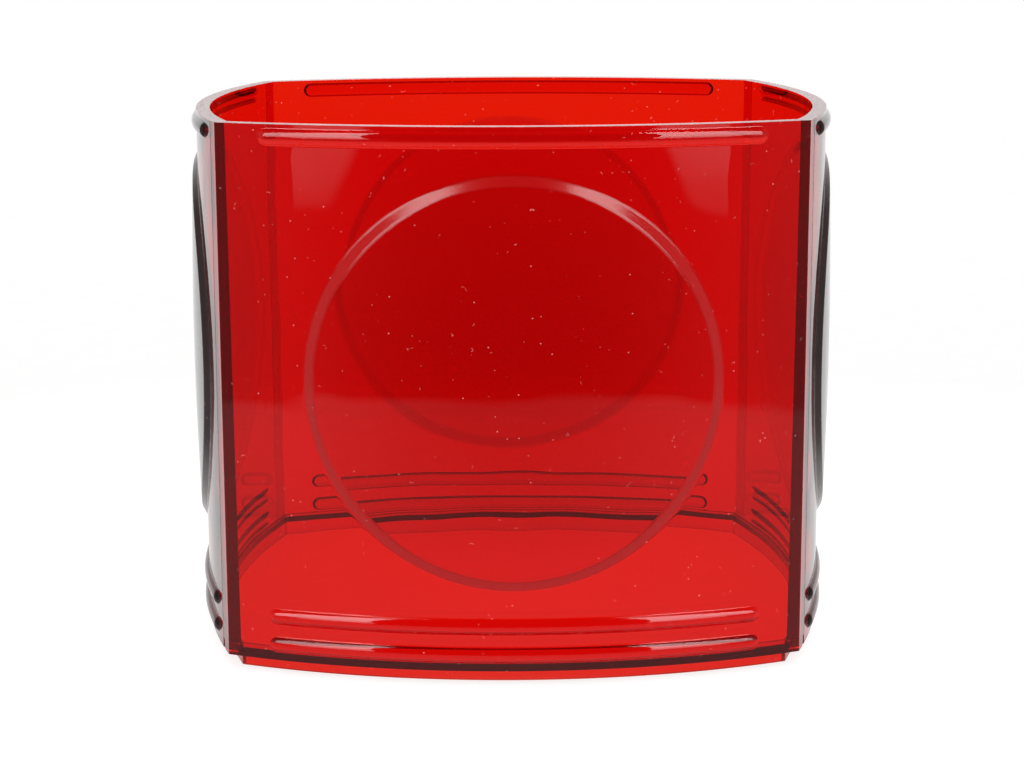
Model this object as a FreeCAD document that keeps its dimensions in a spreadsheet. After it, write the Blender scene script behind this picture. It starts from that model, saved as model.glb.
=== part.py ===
import FreeCAD, Part
import os
import Sketcher

# Shade of a darkroom safelight: a four-sided tube of clear red acrylic, open at both ends.
# Each side is a moulded panel bowed outwards, with a raised round disc and three half-round
# beads on its outer face. The front and back panels run from corner to corner; the left and
# right panels butt against them and are cemented. A thin lip stands inside the lower edge of
# every panel and reaches below it, where it drops into the groove of the lamp base.
#
# +Z is up. The origin is the middle of the footprint, at the height of the lip's lower edge.
# Front is -Y, right is +X.

doc = FreeCAD.newDocument("safelight_shade")

# ---------------------------------------------------------------- driving dimensions, mm
DIMENSIONS = {
    "chord_front": 130.0,    # corner to corner across the front panel
    "chord_side": 117.3,     # corner to corner across a side panel
    "bulge_front": 13.3,     # how far the front panel bows out past its corners
    "bulge_side": 9.8,       # how far a side panel bows out past its corners
    "wall_tall": 121.0,      # panel height, shoulder to rim
    "wall_foot": 4.2,        # wall at the shoulder
    "wall_rim": 3.2,         # wall at the rim: the inner face is drafted
    "seam_gap": 0.25,        # cement between a side panel's end and the front or back panel
    "lip_drop": 3.3,         # lip below the shoulder
    "lip_rise": 2.3,         # lip above the shoulder, let into the wall
    "lip_inset": 3.5,        # lip's outer face, in from the wall's outer face
    "lip_thick": 1.2,
    "cement_gap": 0.25,      # cement between lip and wall
    "cement_rise": 1.4,      # height of that cement line above the shoulder
    "disc_radius": 46.0,
    "disc_height": 64.6,     # disc's centre above the shoulder
    "disc_raise": 1.25,      # disc's edge above the panel
    "disc_crown": 1.0,       # disc's middle above its edge
    "disc_bevel": 2.25,      # width of the sloping band round the disc
    "disc_land": 0.1,        # what is left of the disc's upright edge below that band
    "bead_radius": 2.02,
    "bead_sink": 0.92,       # bead's centre line below the panel's outer face
    "bead_margin": 11.6,     # bead's end centre from the corner, along the chord
    "bead_top": 118.2,       # bead heights above the shoulder
    "bead_middle": 10.2,
    "bead_low": 3.7,
}
sheet = doc.addObject("Spreadsheet::Sheet", "Sizes")
for row, (alias, value) in enumerate(DIMENSIONS.items(), start=1):
    sheet.set(f"A{row}", alias)
    sheet.set(f"B{row}", str(value))
    sheet.setAlias(f"B{row}", alias)
doc.recompute()

REACH = 200.0                # longer than the object, for solids that only trim
HALF_FRONT = -25.0           # a trimming solid keeps what lies in front of this plane
SPARE = 2.0                  # how far a trimming solid runs past what it trims
FOOT, RIM = "Sizes.lip_drop", "Sizes.wall_tall"
REBATE = "(Sizes.lip_inset - Sizes.cement_gap)"
LIP_BACK = "(Sizes.lip_inset + Sizes.lip_thick)"
LIP_TALL = "Sizes.lip_drop + Sizes.lip_rise"
OUTWARD = FreeCAD.Rotation(FreeCAD.Vector(1, 0, 0), 90)      # turns +Z to -Y


class Side:
    """Formulas for one side seen from outside: its own arc, and its neighbours' at each end."""

    def __init__(self, own, cross):
        self.chord = f"Sizes.chord_{own}"
        self.radius = f"(((Sizes.chord_{own} / 2)^2 + Sizes.bulge_{own}^2) / (2 * Sizes.bulge_{own}))"
        self.cross = f"(((Sizes.chord_{cross} / 2)^2 + Sizes.bulge_{cross}^2) / (2 * Sizes.bulge_{cross}))"
        self.axis_y = f"({self.radius} - Sizes.chord_{cross} / 2 - Sizes.bulge_{own})"
        self.cross_x = f"({self.cross} - Sizes.chord_{own} / 2 - Sizes.bulge_{cross})"


# ---------------------------------------------------------------- building blocks
def bind(obj, **formulas):
    """Bind properties to formulas; x, y and z stand for the placement's position."""
    for name, formula in formulas.items():
        path = f".Placement.Base.{name}" if name in ("x", "y", "z") else name
        obj.setExpression(path, formula)
    return obj


def drum(radius, x="0", y="0", foot=FOOT, tall=RIM):
    return bind(doc.addObject("Part::Cylinder", "Drum"), Radius=radius, Height=tall, x=x, y=y, z=foot)


def drafted_core(radius, x="0", y="0"):
    """The space inside a panel's inner face: a cone, wider at the rim by the draft."""
    core = bind(doc.addObject("Part::Cone", "Core"), Height=RIM, x=x, y=y, z=FOOT)
    return bind(core, Radius1=f"{radius} - Sizes.wall_foot", Radius2=f"{radius} - Sizes.wall_rim")


def front_half(foot=FOOT, tall=RIM):
    block = bind(doc.addObject("Part::Box", "Block"), Length=f"{REACH}", Width=f"{REACH}", Height=tall)
    return bind(block, x=f"{-REACH / 2}", y=f"{HALF_FRONT - REACH}", z=foot)


def combine(kind, *shapes):
    result = doc.addObject(f"Part::Multi{kind}", kind)
    result.Shapes = list(shapes)
    return result


def cut(base, tool):
    result = doc.addObject("Part::Cut", "Cut")
    result.Base = base
    result.Tool = tool
    return result


def between_neighbours(side, make, inset="0"):
    """The space between the two neighbouring sides, bounded by what make() draws."""
    radius = f"{side.cross} - ({inset})"
    return [make(radius, x=side.cross_x), make(radius, x=f"-{side.cross_x}")]


# ---------------------------------------------------------------- raised work on a panel
def bead(side, height):
    """Half-round bead that follows the panel's arc and ends in a ball at each end."""
    ring_radius = f"({side.radius} - Sizes.bead_sink)"
    end_x = f"({side.chord} / 2 - Sizes.bead_margin)"
    half_angle = f"asin({end_x} / {ring_radius})"
    level = f"{FOOT} + {height}"
    ring = bind(doc.addObject("Part::Torus", "Bead"), Radius1=ring_radius, Radius2="Sizes.bead_radius")
    bind(ring, Angle3=f"2 * {half_angle}", y=side.axis_y, z=level)
    ring.setExpression(".Placement.Rotation.Angle", f"-90 deg - {half_angle}")
    ends = []
    for sign in ("-", ""):
        ball = bind(doc.addObject("Part::Sphere", "BeadEnd"), Radius="Sizes.bead_radius", z=level)
        bind(ball, x=f"{sign}{end_x}", y=f"{side.axis_y} - {ring_radius} * cos({half_angle})")
        ends.append(ball)
    return combine("Fuse", ring, *ends)


def crowned_drum(side):
    """A barrel whose side is the disc's face: bowed more than the panel, and up and down too."""
    sketch = doc.addObject("Sketcher::SketchObject", "Crown")
    sketch.Placement.Rotation = OUTWARD
    middle = sheet.lip_drop + sheet.disc_height
    half = sheet.disc_radius + SPARE
    low, high = middle - half, middle + half
    radius = REACH - half                          # a first width and bend: the constraints size them
    bend = 5 * REACH
    circle = Part.Circle(FreeCAD.Vector(radius - bend, middle, 0), FreeCAD.Vector(0, 0, 1), bend)
    angle = half / bend
    corners = [FreeCAD.Vector(0, low, 0), FreeCAD.Vector(radius, low, 0)]
    corners += [FreeCAD.Vector(radius, high, 0), FreeCAD.Vector(0, high, 0)]
    floor = sketch.addGeometry(Part.LineSegment(corners[0], corners[1]))
    face = sketch.addGeometry(Part.ArcOfCircle(circle, -angle, angle))
    roof = sketch.addGeometry(Part.LineSegment(corners[2], corners[3]))
    axis = sketch.addGeometry(Part.LineSegment(corners[3], corners[0]))
    start, end, centre, origin = 1, 2, 3, -1
    for first, second in ((floor, face), (face, roof), (roof, axis), (axis, floor)):
        sketch.addConstraint(Sketcher.Constraint("Coincident", first, end, second, start))
    sketch.addConstraint(Sketcher.Constraint("Horizontal", floor))
    sketch.addConstraint(Sketcher.Constraint("Horizontal", roof))
    sketch.addConstraint(Sketcher.Constraint("Vertical", axis))
    sketch.addConstraint(Sketcher.Constraint("PointOnObject", floor, start, -2))
    bend_formula = "((Sizes.disc_radius^2 + Sizes.disc_crown^2) / (2 * Sizes.disc_crown))"
    bow = f"({side.radius} - sqrt({side.radius}^2 - Sizes.disc_radius^2) + Sizes.disc_crown)"
    face_radius = f"((Sizes.disc_radius^2 + {bow}^2) / (2 * {bow}))"
    height = f"({FOOT} + Sizes.disc_height)"
    reach = f"(Sizes.disc_radius + {SPARE})"
    sizes = [
        (Sketcher.Constraint("Radius", face, bend), bend_formula),
        (Sketcher.Constraint("DistanceX", face, centre, origin, start, bend - radius),
         f"{bend_formula} - {face_radius}"),
        (Sketcher.Constraint("DistanceY", origin, start, face, centre, middle), height),
        (Sketcher.Constraint("DistanceY", origin, start, floor, start, low), f"{height} - {reach}"),
        (Sketcher.Constraint("DistanceY", origin, start, roof, end, high), f"{height} + {reach}"),
    ]
    for constraint, formula in sizes:
        index = sketch.addConstraint(constraint)
        sketch.setExpression(f"Constraints[{index}]", formula)
    barrel = doc.addObject("Part::Revolution", "CrownedDrum")
    barrel.Source = sketch
    barrel.Axis = FreeCAD.Vector(0, 0, 1)
    barrel.Solid = True
    outermost = f"({side.radius} + Sizes.disc_raise + Sizes.disc_crown)"
    return bind(barrel, y=f"{side.axis_y} - {outermost} + {face_radius}")


def disc(side):
    """Raised round disc with a sloping band round its edge."""
    stub = doc.addObject("Part::Cylinder", "DiscOutline")
    stub.Placement.Rotation = OUTWARD
    bind(stub, Radius="Sizes.disc_radius", Height=f"{REACH}", y=f"{HALF_FRONT}")
    bind(stub, z=f"{FOOT} + Sizes.disc_height")
    plain = combine("Common", crowned_drum(side), stub)
    doc.recompute()
    outline = []
    for number, edge in enumerate(plain.Shape.Edges, start=1):
        box = edge.BoundBox
        if box.YMax < HALF_FRONT - SPARE and min(box.XLength, box.ZLength) > SPARE:
            outline.append(number)
    bevelled = doc.addObject("Part::Chamfer", "BevelledDisc")
    bevelled.Base = plain
    drop, width = sheet.disc_raise - sheet.disc_land, sheet.disc_bevel
    bevelled.Edges = [(number, width, drop) for number in outline]
    return bevelled


def outer_solid(side, foot=FOOT, tall=RIM):
    """The panel's side of the object as a solid, before its inside is taken away."""
    return combine("Common", drum(side.radius, y=side.axis_y, foot=foot, tall=tall), front_half(foot, tall))


# ---------------------------------------------------------------- the pieces, built facing front
def panel(side, ends_at_corners):
    """A moulded panel: bowed wall with a drafted inner face, its disc, beads and lip rebate."""
    raised = [bead(side, f"Sizes.bead_{place}") for place in ("top", "middle", "low")]
    solid = combine("Fuse", outer_solid(side), disc(side), *raised)
    hollow = cut(solid, drafted_core(side.radius, y=side.axis_y))
    rebate = drum(f"{side.radius} - {REBATE}", y=side.axis_y, tall="Sizes.lip_rise")
    wall = cut(hollow, rebate)
    if ends_at_corners:
        return combine("Common", wall, *between_neighbours(side, drum))
    return combine("Common", wall, *between_neighbours(side, drafted_core, "Sizes.seam_gap"))


def corner_seam(side, hand):
    """Cement in the butt joint between a side panel's end and the front or back panel."""
    wall = cut(outer_solid(side), drafted_core(side.radius, y=side.axis_y))
    rebate = drum(f"{side.radius} - {REBATE}", y=side.axis_y, tall="Sizes.lip_rise")
    x = f"{hand}{side.cross_x}"
    joint = combine("Common", cut(wall, rebate), drafted_core(side.cross, x=x))
    return cut(joint, drafted_core(f"({side.cross} - Sizes.seam_gap)", x=x))


def curved_strip(side, outer_inset, inner_inset, foot, tall, trimmed):
    """A thin upright strip that follows the panel's arc, cut off at both ends."""
    outer = drum(f"{side.radius} - {outer_inset}", y=side.axis_y, foot=foot, tall=tall)
    inner = drum(f"{side.radius} - {inner_inset}", y=side.axis_y, foot=foot, tall=tall)
    ends = [bind(end, Height=tall, z=foot) for end in between_neighbours(side, drum, trimmed)]
    return combine("Common", cut(combine("Common", outer, front_half(foot, tall)), inner), *ends)


FRONT_LIKE, SIDE_LIKE = Side("front", "side"), Side("side", "front")
HEADINGS = {"front": 0, "right": 90, "back": 180, "left": 270}
pieces = {}
for place, heading in HEADINGS.items():
    at_corners = place in ("front", "back")
    side = FRONT_LIKE if at_corners else SIDE_LIKE
    lip_end = "Sizes.lip_inset" if at_corners else LIP_BACK
    made = {
        f"{place}_panel": panel(side, at_corners),
        f"{place}_lip": curved_strip(side, "Sizes.lip_inset", LIP_BACK, "0", LIP_TALL, lip_end),
        f"{place}_lip_cement": curved_strip(side, REBATE, "Sizes.lip_inset", FOOT, "Sizes.cement_rise",
                                            "Sizes.lip_inset"),
    }
    if not at_corners:
        right_hand, left_hand = ("front", "back") if place == "left" else ("back", "front")
        made[f"{place}_{right_hand}_seam"] = corner_seam(side, "-")
        made[f"{place}_{left_hand}_seam"] = corner_seam(side, "")
    for name, piece in made.items():
        piece.Label = name
        piece.Placement.Rotation = FreeCAD.Rotation(FreeCAD.Vector(0, 0, 1), heading)
        pieces[name] = piece
doc.recompute()

# ---------------------------------------------------------------- check and write
for obj in doc.Objects:
    if "Invalid" in obj.State or "Error" in obj.State:
        raise RuntimeError(f"{obj.Label} failed to recompute: {obj.State}")
os.makedirs("parts", exist_ok=True)
for name, piece in pieces.items():
    if piece.Shape.isNull() or not piece.Shape.isValid() or len(piece.Shape.Solids) != 1:
        raise RuntimeError(f"{name} is not one valid solid")
    piece.Shape.exportStep(f"parts/{name}.step")
    box = piece.Shape.optimalBoundingBox()
    print(f"{name}: {piece.Shape.Volume:.1f} mm3, x {box.XMin:.2f}..{box.XMax:.2f}, "
          f"y {box.YMin:.2f}..{box.YMax:.2f}, z {box.ZMin:.2f}..{box.ZMax:.2f}")
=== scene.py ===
import math
import bmesh
import bpy
from mathutils import Matrix, Vector


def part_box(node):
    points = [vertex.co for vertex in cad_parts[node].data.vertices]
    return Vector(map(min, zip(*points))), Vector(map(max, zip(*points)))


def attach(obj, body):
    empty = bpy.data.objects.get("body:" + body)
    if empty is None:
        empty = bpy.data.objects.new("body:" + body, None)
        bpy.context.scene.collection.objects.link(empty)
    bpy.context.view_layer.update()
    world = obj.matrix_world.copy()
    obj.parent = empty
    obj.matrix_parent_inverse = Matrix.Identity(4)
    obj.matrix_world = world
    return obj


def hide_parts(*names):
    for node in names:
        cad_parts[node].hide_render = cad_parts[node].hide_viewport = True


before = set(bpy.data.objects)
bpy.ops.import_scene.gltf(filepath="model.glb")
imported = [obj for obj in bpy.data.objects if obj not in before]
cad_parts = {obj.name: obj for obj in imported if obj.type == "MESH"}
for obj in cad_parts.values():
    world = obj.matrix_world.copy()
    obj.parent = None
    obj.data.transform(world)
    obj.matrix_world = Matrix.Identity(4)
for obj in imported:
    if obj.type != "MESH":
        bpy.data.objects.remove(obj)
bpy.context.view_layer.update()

MM = 0.001

# ---------------------------------------------------------------- camera, floor and light
# The shade stands on a white floor in a white room, seen with a long lens from a little above the
# rim. Two tall soft lights stand at the front, left and right, and the polished acrylic mirrors them.
# The room and the near part of the floor are white to the camera; in what the acrylic mirrors they
# are painted reflections, dark in front where the camera stands, dim at the sides, white behind.
camera = bpy.data.objects.new("camera", bpy.data.cameras.new("camera"))
bpy.context.scene.collection.objects.link(camera)
bpy.context.scene.camera = camera
camera.data.sensor_width = 36.0
camera.data.lens = 82.52
camera_pitch, camera_yaw, camera_roll = -11.64, -0.476, -0.166      # degrees
turn = Matrix.Rotation(math.radians(camera_yaw), 4, "Z")
turn = turn @ Matrix.Rotation(math.radians(90 + camera_pitch), 4, "X")
turn = turn @ Matrix.Rotation(math.radians(camera_roll), 4, "Z")
camera.matrix_world = Matrix.Translation(Vector((-4.6, -570.5, 171.87)) * MM) @ turn
bpy.context.scene.view_settings.view_transform = "Standard"


def new_material(name):
    """A material with only its output node, and that node."""
    material = bpy.data.materials.new(name)
    material.use_nodes = True
    material.node_tree.nodes.clear()
    return material, material.node_tree.nodes.new("ShaderNodeOutputMaterial")


def add_node(tree, kind, inputs=None, **settings):
    """A node of a tree, with its settings, and its inputs as values or links."""
    made = tree.nodes.new(kind)
    for name, value in settings.items():
        setattr(made, name, value)
    for key, value in (inputs or {}).items():
        if isinstance(value, bpy.types.NodeSocket):
            tree.links.new(value, made.inputs[key])
        else:
            made.inputs[key].default_value = value
    return made


def arithmetic(tree, operation, *values, clamp=False):
    """The result of a Math node on numbers or sockets."""
    return add_node(tree, "ShaderNodeMath", dict(enumerate(values)), operation=operation,
                    use_clamp=clamp).outputs[0]


def mirror_ray(tree):
    """1 for a ray that a glossy face has mirrored, 0 for one that went through it or came straight."""
    path = add_node(tree, "ShaderNodeLightPath").outputs
    passed = arithmetic(tree, "SUBTRACT", 1.0, path["Is Transmission Ray"])
    return arithmetic(tree, "MULTIPLY", path["Is Glossy Ray"], passed)


def vector_math(tree, operation, *values):
    """A Vector Math node on vectors or sockets."""
    return add_node(tree, "ShaderNodeVectorMath", dict(enumerate(values)), operation=operation).outputs


def split(tree, vector):
    """The X, Y and Z of a vector."""
    return add_node(tree, "ShaderNodeSeparateXYZ", {0: vector}).outputs


def stretch(tree, value, start, stop, low=0.0, high=1.0, kind="LINEAR"):
    """A value that runs from low to high while another runs from start to stop."""
    limits = {"Value": value, "From Min": start, "From Max": stop, "To Min": low, "To Max": high}
    return add_node(tree, "ShaderNodeMapRange", limits, interpolation_type=kind).outputs["Result"]


def ramp(tree, value, start, stop, low=0.0, high=1.0):
    """The same with a soft start and end."""
    return stretch(tree, value, start, stop, low, high, "SMOOTHSTEP")


def noise(tree, place, scale, detail):
    """A noise texture of so many lumps to the metre."""
    return add_node(tree, "ShaderNodeTexNoise", {"Vector": place, "Scale": scale, "Detail": detail}).outputs


def blend(tree, share, a, b):
    """A value between two others."""
    mix = add_node(tree, "ShaderNodeMix", {"Factor": share, "A": a, "B": b}, data_type="FLOAT")
    return mix.outputs["Result"]


BACK_SHARPNESS = 6.0                   # how fast the room darkens in reflections, away from the back
SIDE_SHARPNESS, SIDE_LIGHT, DARK = 3.0, 0.35, 0.025


def room_in_mirror(tree, towards):
    """How bright the room is painted in a reflection: white behind the shade, dim at its sides, dark in
    front.
    """
    parts = split(tree, towards)
    behind = arithmetic(tree, "POWER", stretch(tree, parts["Y"], -0.7, 1.0), BACK_SHARPNESS)
    aside = arithmetic(tree, "POWER", arithmetic(tree, "ABSOLUTE", parts["X"]), SIDE_SHARPNESS)
    return arithmetic(tree, "MAXIMUM", behind, arithmetic(tree, "MULTIPLY_ADD", aside, SIDE_LIGHT, DARK))


FLOOR_HALF = 3.0
# The floor glows brighter near the shade than further out: painted light that lifts the shade's shadow and
# lights the floor inside it.
SEEN_EDGE, PAINTED_GLOW_NEAR, SEEN_FAR = (0.16, 0.31), 0.78, 0.56          # the floor seen directly
# Painted reflection: the floor glows at these levels only in rays that polished acrylic mirrors; distances
# from the shade's middle, and brightness. The dim spot in front of the shade is painted shade in that
# reflected floor; no stand is built.
PAINTED_SHADE_SPOT = (0.0, -0.33, 0.0)           # where the camera's own stand shades the floor
DIM_EDGE, DIM_LEVEL, FRONT_LEVEL = (0.04, 0.25), 0.22, 0.44
NEAR_EDGE = (0.355, 0.395)             # where the near floor ends
UNDER_EDGE, UNDER_LEVEL = (0.060, 0.085), 0.95
BESIDE_EDGE, BESIDE_LEVEL = (-0.09, -0.03), 0.9
WIDE_EDGE, WIDE_LEAN = (0.12, 0.20), 0.8       # the bright floor beside the shade widens backwards
floor_mesh = bpy.data.meshes.new("floor")
floor_corners = [(x * FLOOR_HALF, y * FLOOR_HALF, 0) for x, y in ((-1, -1), (1, -1), (1, 1), (-1, 1))]
floor_mesh.from_pydata(floor_corners, [], [(0, 1, 2, 3)])
floor = bpy.data.objects.new("floor", floor_mesh)
bpy.context.scene.collection.objects.link(floor)
floor_paint, floor_out = new_material("white_floor")
tree = floor_paint.node_tree
spot = add_node(tree, "ShaderNodeTexCoord").outputs["Object"]
reach = vector_math(tree, "LENGTH", spot)["Value"]
heading = vector_math(tree, "NORMALIZE", spot)[0]
from_dim_spot = vector_math(tree, "DISTANCE", spot, PAINTED_SHADE_SPOT)["Value"]
near_floor = ramp(tree, reach, *NEAR_EDGE, 1.0, 0.0)
front = ramp(tree, from_dim_spot, *DIM_EDGE, DIM_LEVEL, FRONT_LEVEL)
front = arithmetic(tree, "MULTIPLY", front, near_floor)
parts = split(tree, spot)
wide = arithmetic(tree, "MULTIPLY_ADD", parts["Y"], -WIDE_LEAN, arithmetic(tree, "ABSOLUTE", parts["X"]))
beside = ramp(tree, parts["Y"], *BESIDE_EDGE, 0.0, BESIDE_LEVEL)
beside = arithmetic(tree, "MULTIPLY", beside, ramp(tree, wide, *WIDE_EDGE, 1.0, 0.0))
under = ramp(tree, reach, *UNDER_EDGE, UNDER_LEVEL, 0.0)
sheen = room_in_mirror(tree, heading)
for part in (front, under, beside):
    sheen = arithmetic(tree, "MAXIMUM", sheen, part)
mirrored = mirror_ray(tree)
seen = blend(tree, mirrored, ramp(tree, reach, *SEEN_EDGE, PAINTED_GLOW_NEAR, SEEN_FAR), sheen)
grain = noise(tree, spot, 90.0, 6.0)["Fac"]
tone = stretch(tree, grain, 0.0, 1.0, 0.42, 0.46)
tone = arithmetic(tree, "MULTIPLY", tone, arithmetic(tree, "SUBTRACT", 1.0, mirrored))
white = add_node(tree, "ShaderNodeCombineColor", {0: tone, 1: tone, 2: tone})
matt = add_node(tree, "ShaderNodeBsdfDiffuse", {"Color": white.outputs[0]})
glow = add_node(tree, "ShaderNodeEmission", {"Color": (1, 1, 1, 1), "Strength": seen})
both = add_node(tree, "ShaderNodeAddShader", {0: matt.outputs[0], 1: glow.outputs[0]})
tree.links.new(both.outputs[0], floor_out.inputs["Surface"])
floor_mesh.materials.append(floor_paint)

room = bpy.data.worlds.new("white_room")
bpy.context.scene.world = room
room.use_nodes = True
tree = room.node_tree
tree.nodes.clear()
# Painted reflection: the room is white to the camera and to light passing through, and is painted darker
# only in mirrored rays.
towards = add_node(tree, "ShaderNodeTexCoord").outputs["Generated"]
level = blend(tree, mirror_ray(tree), 1.0, room_in_mirror(tree, towards))
sky = add_node(tree, "ShaderNodeBackground", {"Color": (1, 1, 1, 1), "Strength": level})
tree.links.new(sky.outputs[0], add_node(tree, "ShaderNodeOutputWorld").inputs["Surface"])


LIGHT_FOOT, LIGHT_TOP = 0.032, 0.34    # heights between which the cloth brightens
LIGHT_DIM, LIGHT_BRIGHT = 0.3, 5.5
CUT_SLOPE, CUT_HEIGHT, CUT_EDGE = 1.25, 0.054, (0.312, 0.332)      # the inner foot corner, cut off
FOOT_EDGE, ABOVE_CUT = (0.029, 0.036), (0.12, 0.18)


def light_cloth():
    """The cloth front of a soft light: dim at its foot, bright above, its inner foot corner cut off."""
    material, out = new_material("light_cloth")
    tree = material.node_tree
    parts = split(tree, add_node(tree, "ShaderNodeTexCoord").outputs["Object"])
    off = arithmetic(tree, "ABSOLUTE", parts["X"])
    above = arithmetic(tree, "SUBTRACT", parts["Z"], CUT_HEIGHT)
    cut = ramp(tree, arithmetic(tree, "MULTIPLY_ADD", above, CUT_SLOPE, off), *CUT_EDGE)
    inner = arithmetic(tree, "MAXIMUM", cut, ramp(tree, parts["Z"], *ABOVE_CUT))
    shown = arithmetic(tree, "MULTIPLY", ramp(tree, parts["Z"], *FOOT_EDGE), inner)
    strength = stretch(tree, parts["Z"], LIGHT_FOOT, LIGHT_TOP, LIGHT_DIM, LIGHT_BRIGHT)
    glow = add_node(tree, "ShaderNodeEmission", {"Color": (1, 1, 1, 1), "Strength": strength})
    open_air = add_node(tree, "ShaderNodeBsdfTransparent")
    edge = add_node(tree, "ShaderNodeMixShader", {0: shown, 1: open_air.outputs[0], 2: glow.outputs[0]})
    tree.links.new(edge.outputs[0], out.inputs["Surface"])
    return material


cloth = light_cloth()
SKIRT = [(387, -496, 20), (300, -668, 20), (300, -668, 160), (387, -496, 160)]
CANOPY = [(458, -354, 160), (300, -668, 160), (235, -265, 900), (273, -197, 900)]      # mm, right-hand light
for side, name in ((-1, "left"), (1, "right")):
    for part, corners in (("skirt", SKIRT), ("canopy", CANOPY)):
        mesh = bpy.data.meshes.new(f"{name}_light_{part}")
        mesh.from_pydata([Vector((side * x, y, z)) * MM for x, y, z in corners], [], [(0, 1, 2, 3)])
        mesh.materials.append(cloth)
        lamp = bpy.data.objects.new(mesh.name, mesh)
        bpy.context.scene.collection.objects.link(lamp)
        lamp.visible_camera = False
        lamp.visible_transmission = False
        lamp.visible_diffuse = False
        lamp.visible_shadow = False

# ---------------------------------------------------------------- panels
# Four panels of clear red acrylic, injection moulded: bowed outwards, with a raised round disc and
# three half-round beads outside and a drafted inner face. Front and back run from corner to corner.
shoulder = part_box("front_panel")[0].z
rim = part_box("front_panel")[1].z
WALL_TALL = rim - shoulder
CHORD_FRONT, BULGE_FRONT = 130.0 * MM, 13.3 * MM
CHORD_SIDE, BULGE_SIDE = 117.3 * MM, 9.8 * MM
WALL_FOOT, WALL_RIM = 4.2 * MM, 3.2 * MM
LIP_RISE, LIP_INSET, LIP_THICK = 2.3 * MM, 3.5 * MM, 1.2 * MM
CEMENT_GAP, CEMENT_RISE = 0.25 * MM, 1.4 * MM
FILM = 0.02 * MM                       # room between two clear pieces that touch
REBATE = LIP_INSET - CEMENT_GAP
DISC_RADIUS, DISC_HEIGHT = 46.0 * MM, 64.6 * MM
DISC_RAISE, DISC_CROWN, DISC_BAND = 1.25 * MM, 1.0 * MM, 2.25 * MM
BEAD_RADIUS, BEAD_SINK, BEAD_MARGIN = 2.02 * MM, 0.92 * MM, 11.6 * MM
BEAD_HEIGHTS = (3.7 * MM, 10.2 * MM, 118.2 * MM)
ZONES = (0.0, 7.0 * MM, 14.5 * MM, 114.4 * MM, WALL_TALL)      # one strip for each raised feature
COLUMN, ROW = 1.7 * MM, 1.9 * MM
END_COLUMNS = 5
PIN_MARK_X, PIN_MARK_HEIGHT, PIN_MARK_RADIUS, PIN_MARK_ROUND = 56.5 * MM, 58.0 * MM, 1.8 * MM, 0.13 * MM
HEADINGS = {"front": 0, "right": 90, "back": 180, "left": 270}


def arc(chord, bulge, across):
    """Radius of a bowed wall, and how far behind the middle of the shade its axis lies."""
    radius = ((chord / 2) ** 2 + bulge ** 2) / (2 * bulge)
    return radius, radius - across / 2 - bulge


FRONT_ARC = arc(CHORD_FRONT, BULGE_FRONT, CHORD_SIDE)
SIDE_ARC = arc(CHORD_SIDE, BULGE_SIDE, CHORD_FRONT)


def end_x(own, inset, cross, cross_inset):
    """Where a wall's arc, moved inwards by inset, meets its neighbour's arc."""
    r1, r2 = own[0] - inset, cross[0] - cross_inset
    dx, dy = -cross[1], -own[1]
    apart = math.hypot(dx, dy)
    along = (r1 ** 2 - r2 ** 2 + apart ** 2) / (2 * apart)
    off = math.sqrt(r1 ** 2 - along ** 2)
    return along * dx / apart - off * dy / apart


def own_chord(own):
    """A wall's width from corner to corner."""
    return CHORD_FRONT if own is FRONT_ARC else CHORD_SIDE


def wall(z):
    """Thickness of the wall at a height above the shoulder."""
    return WALL_FOOT + (WALL_RIM - WALL_FOOT) * z / WALL_TALL


def on_arc(own, radius, x, z):
    """A point of a wall that faces the front."""
    return Vector((x, own[1] - math.sqrt(radius ** 2 - x ** 2), shoulder + z))


def raised_point(own, x, z, rise):
    """A point of the outer face, lifted along the face's own direction."""
    lean = math.asin(x / own[0])
    point = on_arc(own, own[0], x, z)
    return point + Vector((math.sin(lean), -math.cos(lean), 0)) * rise


def rounded(before, corner, after, reach, steps=5):
    """Points of a small round in place of a corner of an outline."""
    a = corner + (before - corner).normalized() * reach
    b = corner + (after - corner).normalized() * reach
    shares = [step / steps for step in range(steps + 1)]
    return [a * (1 - t) ** 2 + corner * 2 * t * (1 - t) + b * t ** 2 for t in shares]


def disc_outline():
    """How high the disc stands, from its middle outwards: crowned face, sloping band, round edges."""
    def face(d):
        return Vector((d, DISC_RAISE + DISC_CROWN * (1 - (d / DISC_RADIUS) ** 2)))
    edge = DISC_RADIUS - DISC_BAND
    steps = 20
    flat = [face(edge * 0.985 * step / steps) for step in range(steps + 1)]
    foot = Vector((DISC_RADIUS, 0))
    outside = foot + Vector((2 * MM, 0))
    top_round = rounded(flat[-1], face(edge), foot, 0.45 * MM)
    foot_round = rounded(face(edge), foot, outside, 0.45 * MM)
    return flat + top_round + foot_round + [foot + Vector((0.8 * MM, 0))]


def bead_outline():
    """How high a bead stands, from its middle line outwards."""
    reach = math.acos(BEAD_SINK / BEAD_RADIUS)
    steps = 11
    angles = [reach * step / steps for step in range(steps)]
    crown = [Vector((BEAD_RADIUS * math.sin(a), BEAD_RADIUS * math.cos(a) - BEAD_SINK)) for a in angles]
    foot = Vector((BEAD_RADIUS * math.sin(reach), 0))
    outside = foot + Vector((MM, 0))
    return crown + rounded(crown[-1], foot, outside, 0.22 * MM, 4) + [foot + Vector((0.32 * MM, 0))]


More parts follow.
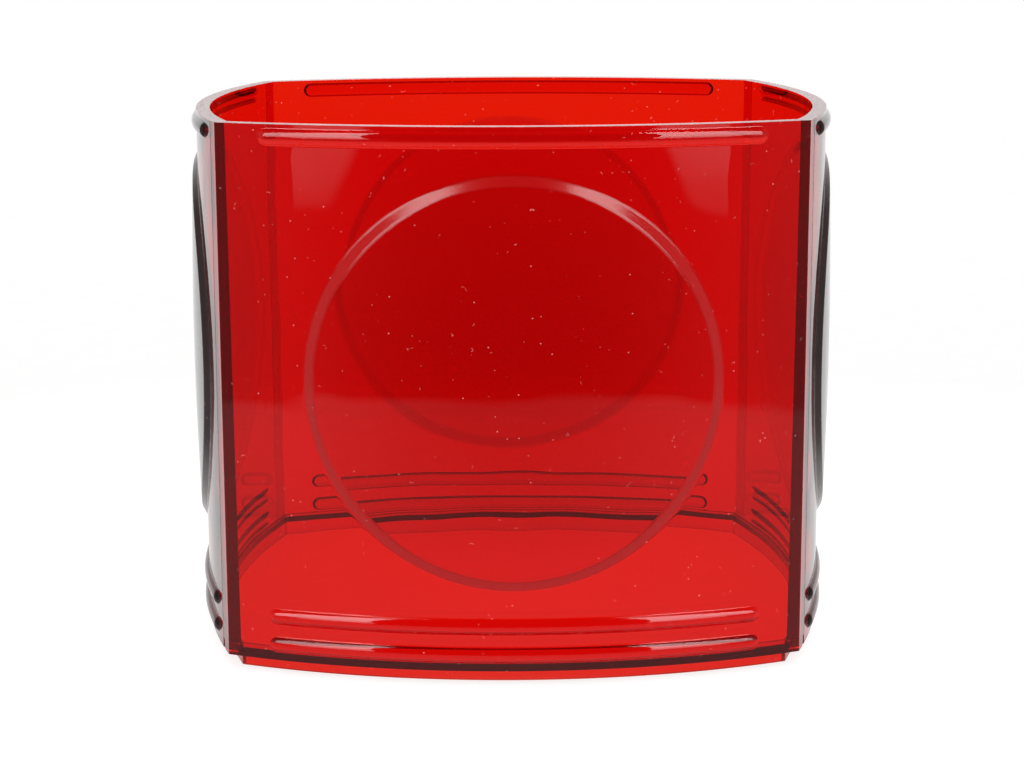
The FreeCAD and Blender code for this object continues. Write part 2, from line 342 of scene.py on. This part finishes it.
def strip_island(columns, rows, middle, half_length, outline, blends):
    """
    Rings of (x, z, rise) round a raised feature whose middle line runs half_length each way. The
    last ring is the border of the strip that holds it, which goes once round it.
    """
    low, high = rows[0], rows[-1]
    border = [(x, low) for x in columns(low)[:-1]]
    border += [(columns(z)[-1], z) for z in rows[:-1]]
    border += [(x, high) for x in columns(high)[:0:-1]]
    border += [(columns(z)[0], z) for z in rows[:0:-1]]
    cores, turns = [], []
    slack = 1e-7
    for x, z in border:
        core = max(-half_length, min(half_length, x))
        cores.append(core)
        if abs(x) <= half_length + slack and z in (low, high):
            turns.append(math.copysign(math.pi / 2, z - middle))
        else:
            turns.append(math.atan2(z - middle, x - core))
    if half_length:
        spread_ends(border, turns, half_length + slack, low, high)
    rings = []
    for d, rise in outline:
        rings.append([(c + d * math.cos(t), middle + d * math.sin(t), rise) for c, t in zip(cores, turns)])
    last = rings[-1]
    for step in range(1, blends + 1):
        share = step / blends
        rings.append([(p[0] + (b[0] - p[0]) * share, p[1] + (b[1] - p[1]) * share, 0.0)
                      for p, b in zip(last, border)])
    return rings


def spread_ends(border, turns, reach, low, high):
    """Spread the directions evenly over each round end, right and then left."""
    for sign in (1, -1):
        ids = [i for i, (x, z) in enumerate(border)
               if sign * x > reach or (z not in (low, high) and sign * x > 0)]
        if sign < 0:
            split = next((k for k in range(1, len(ids)) if ids[k] != ids[k - 1] + 1), 0)
            ids = ids[split:] + ids[:split]
        start = -math.pi / 2 if sign > 0 else math.pi / 2
        for k, i in enumerate(ids, start=1):
            turns[i] = start + math.pi * k / (len(ids) + 1)


def pin_mark(own, middle):
    """The raised ring that an ejector pin left on the inner face, as sections once round it."""
    sections, sides = 40, 12
    rows = []
    for step in range(sections + 1):
        around = 2 * math.pi * (step % sections) / sections
        row = []
        for k in range(sides):
            turn = 2 * math.pi * k / sides
            reach = PIN_MARK_RADIUS + PIN_MARK_ROUND * math.cos(turn)
            x, z = middle + reach * math.cos(around), PIN_MARK_HEIGHT + reach * math.sin(around)
            off = FILM + PIN_MARK_ROUND * (1 + math.sin(turn))
            row.append(on_arc(own, own[0] - wall(z) - off, x, z))
        rows.append(row)
    return rows


def panel_mesh(name, own, cross, at_corners):
    """One panel that faces the front, as a closed mesh."""
    gap = 0.0 if at_corners else CEMENT_GAP
    half_length = own_chord(own) / 2 - BEAD_MARGIN
    count = 2 * round(half_length / COLUMN)

    def spread(limit):
        middle = [half_length * (2 * i / count - 1) for i in range(count + 1)]
        ends = [half_length + (limit - half_length) * k / END_COLUMNS for k in range(1, END_COLUMNS + 1)]
        return [-x for x in reversed(ends)] + middle + ends

    def outer_columns(z):
        return spread(end_x(own, 0, cross, 0 if at_corners else wall(z) + gap))

    def inner_columns(z, inset):
        return spread(end_x(own, inset, cross, 0 if at_corners else wall(z) + gap))

    points, faces = [], []

    def patch(rows_of_points, closed=False):
        start, width = len(points), len(rows_of_points[0])
        for row in rows_of_points:
            points.extend(row)
        for r in range(len(rows_of_points) - 1):
            for c in range(width if closed else width - 1):
                n = (c + 1) % width
                a, b = start + r * width, start + (r + 1) * width
                faces.append((a + c, a + n, b + n, b + c))

    side_rows = [0.0, LIP_RISE / 2, LIP_RISE]
    for low, high in zip(ZONES, ZONES[1:]):
        first = max(low, LIP_RISE)
        steps = max(4, round((high - first) / ROW))
        side_rows += [first + (high - first) * k / steps for k in range(1, steps + 1)]

    foot_bead, second_bead, top_bead = [(height, half_length, bead_outline(), 2) for height in BEAD_HEIGHTS]
    features = [foot_bead, second_bead, (DISC_HEIGHT, 0.0, disc_outline(), 9), top_bead]
    slack = 1e-9
    for (low, high), (middle, length, outline, blends) in zip(zip(ZONES, ZONES[1:]), features):
        rows = [z for z in side_rows if low - slack <= z <= high + slack]
        rings = strip_island(outer_columns, rows, middle, length, outline, blends)
        patch([[raised_point(own, *p) for p in ring] for ring in rings], closed=True)

    inner_rows = [z for z in side_rows if z >= LIP_RISE - slack]
    inner = [[on_arc(own, own[0] - wall(z), x, z) for x in inner_columns(z, wall(z))] for z in inner_rows]
    rebate = [[on_arc(own, own[0] - REBATE, x, z) for x in inner_columns(z, REBATE)] for z in side_rows[:3]]
    outer_top = [on_arc(own, own[0], x, WALL_TALL) for x in outer_columns(WALL_TALL)]
    outer_foot = [on_arc(own, own[0], x, 0.0) for x in outer_columns(0.0)]
    patch(inner)
    patch(rebate)
    patch([outer_top, inner[-1]])
    patch([rebate[-1], inner[0]])
    patch([outer_foot, rebate[0]])
    for end in (0, -1):
        outside = [on_arc(own, own[0], outer_columns(z)[end], z) for z in side_rows]
        patch([outside[:3], [row[end] for row in rebate]])
        patch([outside[3:], [row[end] for row in inner[1:]]])
        start = len(points)
        points.extend([outside[2], rebate[-1][end], inner[0][end], inner[1][end], outside[3]])
        faces.append(tuple(range(start, start + 5)))

    if at_corners:
        for side in (-1, 1):
            patch(pin_mark(own, side * PIN_MARK_X), closed=True)

    mesh = bpy.data.meshes.new(name)
    mesh.from_pydata(points, [], faces)
    form = bmesh.new()
    form.from_mesh(mesh)
    bmesh.ops.remove_doubles(form, verts=form.verts, dist=0.0005 * MM)
    bmesh.ops.dissolve_degenerate(form, edges=form.edges, dist=0.0001 * MM)
    bmesh.ops.recalc_face_normals(form, faces=form.faces)
    form.to_mesh(mesh)
    form.free()
    return mesh


SLOW_WAVE = 0.15 * MM                  # height of the slow unevenness


def dust_group():
    """Specks of dust, short hairs, haze, smudges and the slow unevenness of a moulded face. The dust and
    haze glow, painted light for the light they catch, over a faint red painted glow.
    """
    group = bpy.data.node_groups.new("dust_glow_and_handling", "ShaderNodeTree")
    group.interface.new_socket("Place", in_out="INPUT", socket_type="NodeSocketVector")
    for name in ("Specks", "Hairs", "Haze", "Smudges", "Base roughness"):
        group.interface.new_socket(name, in_out="INPUT", socket_type="NodeSocketFloat")
    group.interface.new_socket("Dust glow", in_out="OUTPUT", socket_type="NodeSocketColor")
    group.interface.new_socket("Roughness", in_out="OUTPUT", socket_type="NodeSocketFloat")
    group.interface.new_socket("Height", in_out="OUTPUT", socket_type="NodeSocketFloat")
    given = group.nodes.new("NodeGroupInput").outputs
    result = group.nodes.new("NodeGroupOutput").inputs
    place = given["Place"]

    spots = add_node(group, "ShaderNodeTexVoronoi", {"Vector": place, "Scale": 420.0}).outputs
    small = arithmetic(group, "LESS_THAN", spots["Distance"], 0.07)
    picked = add_node(group, "ShaderNodeSeparateColor", {0: spots["Color"]}).outputs
    chosen = arithmetic(group, "LESS_THAN", picked[0], given["Specks"])
    specks = arithmetic(group, "MULTIPLY", arithmetic(group, "MULTIPLY", small, chosen),
                        arithmetic(group, "POWER", picked[1], 1.5))

    wander = noise(group, place, 300.0, 2.0)["Color"]
    bent = add_node(group, "ShaderNodeVectorMath", {0: wander, "Scale": 0.004}, operation="SCALE")
    moved = vector_math(group, "ADD", place, bent.outputs[0])[0]
    cells = add_node(group, "ShaderNodeTexVoronoi", {"Vector": moved, "Scale": 260.0},
                     feature="DISTANCE_TO_EDGE")
    thin = arithmetic(group, "LESS_THAN", cells.outputs["Distance"], 0.012)
    short = arithmetic(group, "LESS_THAN", noise(group, place, 700.0, 1.0)["Fac"], given["Hairs"])
    hairs = arithmetic(group, "MULTIPLY", thin, short)
    dust = arithmetic(group, "MAXIMUM", specks, arithmetic(group, "MULTIPLY", hairs, 0.6))

    frost = stretch(group, noise(group, place, 900.0, 6.0)["Fac"], 0.3, 0.75)
    dust = arithmetic(group, "MULTIPLY_ADD", frost, given["Haze"], dust)
    # The clean colour is a faint red glow over all the acrylic, painted light for light scattered inside it.
    # The dusty colour is the pale glow of dust, hairs and haze: real specks and frost, drawn with painted
    # light for the light they catch.
    painted_red_glow, lit_dust_glow = (0.005, 0.0002, 0.0004, 1), (0.36, 0.24, 0.24, 1)
    colour = add_node(group, "ShaderNodeMix", {"Factor": dust, "A": painted_red_glow, "B": lit_dust_glow}, data_type="RGBA")
    group.links.new(colour.outputs["Result"], result["Dust glow"])

    smudge = stretch(group, noise(group, place, 35.0, 5.0)["Fac"], 0.55, 0.8)
    smudge = arithmetic(group, "MULTIPLY", smudge, given["Smudges"])
    group.links.new(arithmetic(group, "ADD", given["Base roughness"], smudge), result["Roughness"])
    height = arithmetic(group, "MULTIPLY", noise(group, place, 45.0, 1.0)["Fac"], SLOW_WAVE)
    group.links.new(height, result["Height"])
    return group


dust_glow_and_handling = dust_group()


# The disc's band gets a darker tint than the rest of the panel: painted shade. Band and rim haze glow pale,
# painted light, on top of their real grain and frost roughness.
CLEAR_TINT, BAND_SHADE_TINT = (1.0, 0.35, 0.30, 1), (0.92, 0.32, 0.28, 1)
BAND_HAZE, RIM_HAZE = 0.01, 0.9
BAND_ROUGH, RIM_ROUGH = 0.16, 0.2


def band_mask(nodes, place):
    """1 on the sloping band of a panel's disc."""
    parts = split(nodes, place)
    nearer = arithmetic(nodes, "MINIMUM", arithmetic(nodes, "ABSOLUTE", parts["X"]),
                        arithmetic(nodes, "ABSOLUTE", parts["Y"]))
    up = arithmetic(nodes, "SUBTRACT", parts["Z"], shoulder + DISC_HEIGHT)
    from_middle = add_node(nodes, "ShaderNodeCombineXYZ", {0: nearer, 1: up}).outputs[0]
    from_middle = vector_math(nodes, "LENGTH", from_middle)["Value"]
    off_band = arithmetic(nodes, "SUBTRACT", from_middle, DISC_RADIUS - DISC_BAND / 2)
    off_band = arithmetic(nodes, "ABSOLUTE", off_band)
    return ramp(nodes, off_band, DISC_BAND / 2 - 0.1 * MM, DISC_BAND / 2 + 0.2 * MM, 1.0, 0.0)


def clear_red(name, absorption, specks, hairs, smudges, roughness, panel=False):
    """
    Clear red acrylic that darkens with its depth: absorption is per metre, for red, green, blue.
    On a panel the mould left the disc's band finely grained, and the saw left the rim frosted: both are
    rougher and glow pale, painted light, and the band is tinted darker, painted shade.
    """
    material, out = new_material(name)
    nodes = material.node_tree
    place = add_node(nodes, "ShaderNodeTexCoord").outputs["Object"]
    amounts = {"Place": place, "Specks": specks, "Hairs": hairs, "Smudges": smudges,
               "Base roughness": roughness}
    wear = add_node(nodes, "ShaderNodeGroup", node_tree=dust_glow_and_handling)
    tint = CLEAR_TINT
    if panel:
        band = band_mask(nodes, place)
        frosted = ramp(nodes, split(nodes, place)["Z"], rim - 0.08 * MM, rim - 0.02 * MM)
        rim_haze = arithmetic(nodes, "MULTIPLY", frosted, RIM_HAZE)
        amounts["Haze"] = arithmetic(nodes, "MULTIPLY_ADD", band, BAND_HAZE, rim_haze)
        rim_rough = arithmetic(nodes, "MULTIPLY_ADD", frosted, RIM_ROUGH, roughness)
        amounts["Base roughness"] = arithmetic(nodes, "MULTIPLY_ADD", band, BAND_ROUGH, rim_rough)
        mix = add_node(nodes, "ShaderNodeMix", {"Factor": band, "A": tint, "B": BAND_SHADE_TINT}, data_type="RGBA")
        tint = mix.outputs["Result"]
    for key, value in amounts.items():
        if isinstance(value, bpy.types.NodeSocket):
            nodes.links.new(value, wear.inputs[key])
        else:
            wear.inputs[key].default_value = value
    bump = add_node(nodes, "ShaderNodeBump", {"Strength": 1.0, "Distance": 1.0})
    nodes.links.new(wear.outputs["Height"], bump.inputs["Height"])
    acrylic = add_node(nodes, "ShaderNodeBsdfPrincipled", {
        "Base Color": tint, "Metallic": 0.0, "IOR": 1.49, "Transmission Weight": 1.0,
        "Roughness": wear.outputs["Roughness"], "Normal": bump.outputs["Normal"],
        # The dust output drives emission: painted glow for lit dust and frost, and for light scattered in
        # the acrylic.
        "Emission Color": wear.outputs["Dust glow"], "Emission Strength": 1.0})
    strongest = max(absorption) * 1.04
    depth = add_node(nodes, "ShaderNodeVolumeAbsorption", {
        "Color": (*[1 - each / strongest for each in absorption], 1), "Density": strongest})
    nodes.links.new(acrylic.outputs[0], out.inputs["Surface"])
    nodes.links.new(depth.outputs[0], out.inputs["Volume"])
    return material


ACRYLIC_ABSORPTION = (76.0, 1070.0, 1500.0)
panel_red = clear_red("panel_red_acrylic", ACRYLIC_ABSORPTION, 0.8, 0.27, 0.03, 0.010, panel=True)

EDGE_ROUND = 0.22 * MM


def finish_piece(name, mesh, heading, node):
    """Turn a mesh to its own side, stand it in for its CAD node and let it ride."""
    mesh.transform(Matrix.Rotation(math.radians(heading), 4, "Z"))
    mesh.name = name
    piece = bpy.data.objects.new(name, mesh)
    bpy.context.scene.collection.objects.link(piece)
    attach(piece, "root")
    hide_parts(node)
    return piece


def with_round_edges(mesh, width):
    """The mesh with its sharp edges rounded, and smooth shading between them."""
    holder = bpy.data.objects.new("holder", mesh)
    bpy.context.scene.collection.objects.link(holder)
    mesh.polygons.foreach_set("use_smooth", [True] * len(mesh.polygons))
    bevel = holder.modifiers.new("round", "BEVEL")
    bevel.width = width
    bevel.segments = 2
    bevel.limit_method = "ANGLE"
    bevel.angle_limit = math.radians(35)
    bevel.harden_normals = True
    seen = holder.evaluated_get(bpy.context.evaluated_depsgraph_get())
    made = bpy.data.meshes.new_from_object(seen)
    bpy.data.objects.remove(holder)
    return made


for place, heading in HEADINGS.items():
    at_corners = place in ("front", "back")
    own, cross = (FRONT_ARC, SIDE_ARC) if at_corners else (SIDE_ARC, FRONT_ARC)
    mesh = with_round_edges(panel_mesh(f"{place}_shell", own, cross, at_corners), EDGE_ROUND)
    mesh.materials.clear()
    mesh.materials.append(panel_red)
    finish_piece(f"{place}_panel_moulding", mesh, heading, f"{place}_panel")

# ---------------------------------------------------------------- lips
# A thin strip of the same acrylic stands inside the foot of every panel, let into a rebate and
# reaching below the wall, where it drops into the groove of the lamp base.


def bowed_strip_tree():
    """Geometry nodes for an upright strip that follows an arc: a block of faces bent to its place."""
    tree = bpy.data.node_groups.new("bowed_strip", "GeometryNodeTree")
    tree.interface.new_socket("Geometry", in_out="OUTPUT", socket_type="NodeSocketGeometry")
    for name in ("Outer radius", "Inner radius", "Axis", "Start", "Start lean", "Start draft", "End",
                 "End lean", "End draft", "Draft", "Foot", "Top"):
        tree.interface.new_socket(name, in_out="INPUT", socket_type="NodeSocketFloat")
    tree.interface.new_socket("Columns", in_out="INPUT", socket_type="NodeSocketInt")
    tree.interface.new_socket("Material", in_out="INPUT", socket_type="NodeSocketMaterial")
    given = tree.nodes.new("NodeGroupInput").outputs
    block = add_node(tree, "GeometryNodeMeshCube", {"Size": (1, 1, 1), "Vertices X": given["Columns"],
                                                    "Vertices Y": 3, "Vertices Z": 8})
    spot = add_node(tree, "GeometryNodeInputPosition").outputs[0]
    along, depth, height = [arithmetic(tree, "ADD", part, 0.5) for part in split(tree, spot)]

    def between(share, a, b):
        return arithmetic(tree, "MULTIPLY_ADD", share, arithmetic(tree, "SUBTRACT", b, a), a)

    def leaning(name):
        moved = arithmetic(tree, "MULTIPLY_ADD", depth, given[f"{name} lean"], given[name])
        return arithmetic(tree, "MULTIPLY_ADD", height, given[f"{name} draft"], moved)

    x = between(along, leaning("Start"), leaning("End"))
    radius = between(depth, given["Outer radius"], given["Inner radius"])
    radius = arithmetic(tree, "MULTIPLY_ADD", height, given["Draft"], radius)
    square = arithmetic(tree, "SUBTRACT", arithmetic(tree, "MULTIPLY", radius, radius),
                        arithmetic(tree, "MULTIPLY", x, x))
    y = arithmetic(tree, "SUBTRACT", given["Axis"], arithmetic(tree, "SQRT", square))
    z = between(height, given["Foot"], given["Top"])
    bent = add_node(tree, "ShaderNodeCombineXYZ", {0: x, 1: y, 2: z}).outputs[0]
    shaped = add_node(tree, "GeometryNodeSetPosition", {"Geometry": block.outputs["Mesh"], "Position": bent})
    whole = add_node(tree, "GeometryNodeRealizeInstances", {0: shaped.outputs[0]})
    coloured = add_node(tree, "GeometryNodeSetMaterial", {"Geometry": whole.outputs[0],
                                                          "Material": given["Material"]})
    tree.links.new(coloured.outputs[0], tree.nodes.new("NodeGroupOutput").inputs[0])
    return tree


bowed_strip = bowed_strip_tree()


def strip_mesh(material, columns, **sizes):
    """A plain mesh of a bowed strip, from its named sizes."""
    holder = bpy.data.objects.new("holder", bpy.data.meshes.new("holder"))
    bpy.context.scene.collection.objects.link(holder)
    modifier = holder.modifiers.new("strip", "NODES")
    modifier.node_group = bowed_strip
    values = {name.replace("_", " ").capitalize(): value for name, value in sizes.items()}
    values["Columns"] = columns
    values["Material"] = material
    for item in bowed_strip.interface.items_tree:
        if item.in_out == "INPUT" and item.name in values:
            modifier[item.identifier] = values[item.name]
    seen = holder.evaluated_get(bpy.context.evaluated_depsgraph_get())
    mesh = bpy.data.meshes.new_from_object(seen)
    bpy.data.objects.remove(holder)
    form = bmesh.new()
    form.from_mesh(mesh)
    bmesh.ops.recalc_face_normals(form, faces=form.faces)
    form.to_mesh(mesh)
    form.free()
    return mesh


STRIP_COLUMNS = 90
LIP_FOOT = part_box("front_lip")[0].z
LIP_ABSORPTION = (200.0, 2900.0, 5500.0)
lip_red = clear_red("lip_red_acrylic", LIP_ABSORPTION, 0.8, 0.27, 0.05, 0.02)
for place, heading in HEADINGS.items():
    at_corners = place in ("front", "back")
    own, cross = (FRONT_ARC, SIDE_ARC) if at_corners else (SIDE_ARC, FRONT_ARC)
    stop = LIP_INSET if at_corners else LIP_INSET + LIP_THICK + FILM
    outside = end_x(own, LIP_INSET, cross, stop)
    inside = end_x(own, LIP_INSET + LIP_THICK, cross, stop)
    mesh = strip_mesh(lip_red, STRIP_COLUMNS, outer_radius=own[0] - LIP_INSET,
                      inner_radius=own[0] - LIP_INSET - LIP_THICK, axis=own[1],
                      start=-outside, start_lean=outside - inside, end=outside, end_lean=inside - outside,
                      foot=LIP_FOOT, top=shoulder + LIP_RISE - FILM)
    mesh = with_round_edges(mesh, 0.12 * MM)
    finish_piece(f"{place}_lip_strip", mesh, heading, f"{place}_lip")

# ---------------------------------------------------------------- cement
# The lips are stuck into the rebates with cement. The cement is drawn near-black, which makes a dark line at
# the shoulder. The ends of the side panels are stuck to the front and back panels with a clear film of the
# same red.
cement, out = new_material("near_black_shoulder_line")
nodes = cement.node_tree
lumps = noise(nodes, add_node(nodes, "ShaderNodeTexCoord").outputs["Object"], 700.0, 4.0)["Fac"]
shade = add_node(nodes, "ShaderNodeMix", {"Factor": lumps, "A": (0.004, 0.0008, 0.0008, 1),
                                          "B": (0.03, 0.002, 0.002, 1)}, data_type="RGBA")
uneven = add_node(nodes, "ShaderNodeBump", {"Strength": 0.5, "Distance": 0.05 * MM, "Height": lumps})
paste = add_node(nodes, "ShaderNodeBsdfPrincipled", {
    "Base Color": shade.outputs["Result"], "Metallic": 0.0, "Normal": uneven.outputs["Normal"],
    "Roughness": stretch(nodes, lumps, 0.0, 1.0, 0.2, 0.45)})
nodes.links.new(paste.outputs[0], out.inputs["Surface"])

for place, heading in HEADINGS.items():
    at_corners = place in ("front", "back")
    own, cross = (FRONT_ARC, SIDE_ARC) if at_corners else (SIDE_ARC, FRONT_ARC)
    reach = end_x(own, REBATE, cross, LIP_INSET)
    mesh = strip_mesh(cement, STRIP_COLUMNS, outer_radius=own[0] - REBATE - FILM,
                      inner_radius=own[0] - LIP_INSET + FILM, axis=own[1], start=-reach, end=reach,
                      foot=shoulder, top=shoulder + CEMENT_RISE)
    finish_piece(f"{place}_lip_cement_line", mesh, heading, f"{place}_lip_cement")

SEAM_ABSORPTION = (200.0, 1500.0, 2000.0)
seam_red = clear_red("seam_red_cement", SEAM_ABSORPTION, 0.0, 0.0, 0.1, 0.05)
SEAMS = ((1, "front", "right"), (-1, "front", "left"), (1, "back", "left"), (-1, "back", "right"))
for hand, place, neighbour in SEAMS:
    corners = []
    for z in (0.0, WALL_TALL):
        outside = end_x(FRONT_ARC, wall(z), SIDE_ARC, 0)
        inside = end_x(FRONT_ARC, wall(z) + CEMENT_GAP, SIDE_ARC, wall(z))
        corners.append((inside, outside))
    (in_foot, out_foot), (in_rim, out_rim) = corners
    mesh = strip_mesh(seam_red, 6, outer_radius=FRONT_ARC[0] - WALL_FOOT - FILM,
                      inner_radius=FRONT_ARC[0] - WALL_FOOT - CEMENT_GAP + FILM, axis=FRONT_ARC[1],
                      start=hand * in_foot, start_draft=hand * (in_rim - in_foot), end=hand * out_foot,
                      end_draft=hand * (out_rim - out_foot), draft=WALL_FOOT - WALL_RIM,
                      foot=shoulder, top=rim)
    corner = f"{neighbour}_{place}"
    finish_piece(f"{corner}_seam_film", mesh, HEADINGS[place], f"{corner}_seam")
